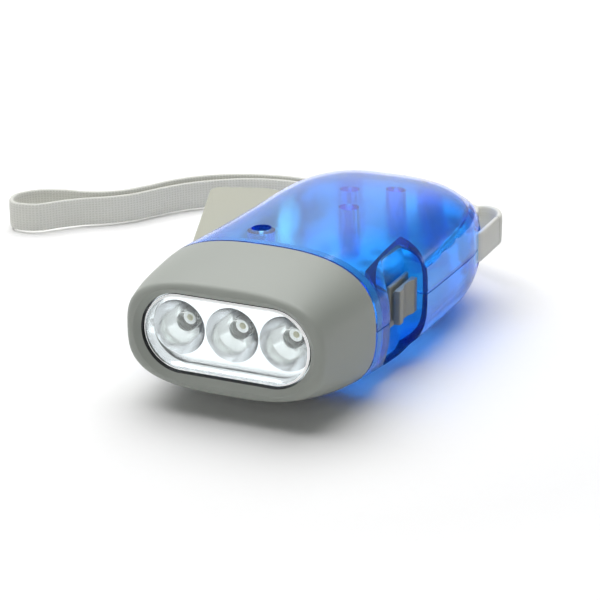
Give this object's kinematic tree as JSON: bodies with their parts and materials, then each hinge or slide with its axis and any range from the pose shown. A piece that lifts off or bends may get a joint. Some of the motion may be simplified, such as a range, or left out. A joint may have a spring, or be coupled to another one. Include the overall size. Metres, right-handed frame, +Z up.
{
  "type": "squeeze-lever dynamo flashlight",
  "caption": "Palm-sized flashlight with a clear blue two-shell body, grey head, LED window, slide switch, hand-squeezed generator lever and wrist strap.",
  "frame": {"origin": "middle of the small flat land under the lower shell, on which the flashlight stands", "axes": "-Y out of the lens, +Y to the tail, +X the switch side, -X the lever side, +Z up; the two shells part on the plane Z = 17.8 mm"},
  "size_m": [0.146, 0.1502, 0.0351],
  "materials": {
    "blue_shell": "clear blue moulded plastic, polished",
    "grey_head": "grey moulded plastic, fine satin",
    "grey_lever": "pale olive grey moulded plastic, fine satin",
    "grey_knob": "mid grey moulded plastic, satin",
    "clear_pane": "clear polished plastic",
    "plated": "bright plated plastic",
    "led_resin": "clear cast resin",
    "circuit_board": "green laminate",
    "nylon": "natural white gear nylon",
    "steel": "plain steel, drawn or pressed",
    "ring_magnet": "sintered dark grey magnet",
    "copper_winding": "enamelled copper wire",
    "black_plastic": "black moulded plastic",
    "red_cover": "red wire cover",
    "strap_webbing": "pale grey woven webbing"
  },
  "bodies": {
    "case": {"head_bezel": "grey_head", "front_lens": "clear_pane", "reflector": "plated", "led_left": "led_resin", "led_middle": "led_resin", "led_right": "led_resin", "led_board": "circuit_board", "upper_shell": "blue_shell", "lower_shell": "blue_shell", "neck_screw": "steel", "rear_left_screw": "steel", "rear_right_screw": "steel", "lever_pin": "steel", "first_gear_pin": "steel", "second_gear_pin": "steel", "rotor_pin": "steel", "stator_lower_claw": "steel", "stator_upper_claw": "steel", "coil_bobbin": "nylon", "coil_winding": "copper_winding", "main_board": "circuit_board", "storage_cell": "steel", "diode_left": "black_plastic", "diode_right": "black_plastic", "capacitor": "black_plastic", "wire_red": "red_cover", "wire_black": "black_plastic", "wire_coil": "copper_winding", "switch_case": "black_plastic", "strap_wrap": "strap_webbing", "wrist_strap": "strap_webbing"},
    "lever": {"squeeze_lever": "grey_lever", "lever_sector": "nylon", "return_spring": "steel"},
    "first_gear": {"first_gear": "nylon"},
    "second_gear": {"second_gear": "nylon"},
    "rotor": {"rotor_pinion": "nylon", "rotor_cup": "steel", "rotor_magnet": "ring_magnet"},
    "switch": {"switch_knob": "grey_knob", "switch_nub": "black_plastic"},
    "lock": {"lock_slide": "grey_knob"}
  },
  "joints": [
    {"name": "lever_squeeze", "type": "hinge", "parent": "case", "child": "lever", "pos_m": [-0.019, -0.022, 0.0178], "axis": [0, 0, -1], "range_deg": [0, 20], "stiffness_Nm_per_rad": 0.15, "springref_deg": -20.05, "deforming": ["return_spring"]},
    {"name": "first_gear_spin", "type": "hinge", "parent": "case", "child": "first_gear", "pos_m": [0.00575, 0.00275, 0.0178], "axis": [0, 0, 1], "range_deg": [0, 120]},
    {"name": "second_gear_spin", "type": "hinge", "parent": "case", "child": "second_gear", "pos_m": [0.00013, 0.01666, 0.0178], "axis": [0, 0, -1], "range_deg": [0, 480]},
    {"name": "rotor_spin", "type": "hinge", "parent": "case", "child": "rotor", "pos_m": [0.01009, 0.02241, 0.0178], "axis": [0, 0, 1], "range_deg": [0, 1728]},
    {"name": "switch_slide", "type": "slide", "parent": "case", "child": "switch", "axis": [0, -1, 0], "range_m": [0, 0.004]},
    {"name": "lock_slide_joint", "type": "slide", "parent": "case", "child": "lock", "axis": [0, -1, 0], "range_m": [0, 0.0042]}
  ],
  "couplings": [
    {"joint": "lever_squeeze", "follows": "rotor_spin", "ratio": 0.011574},
    {"joint": "first_gear_spin", "follows": "rotor_spin", "ratio": 0.069444},
    {"joint": "second_gear_spin", "follows": "rotor_spin", "ratio": 0.27778}
  ]
}
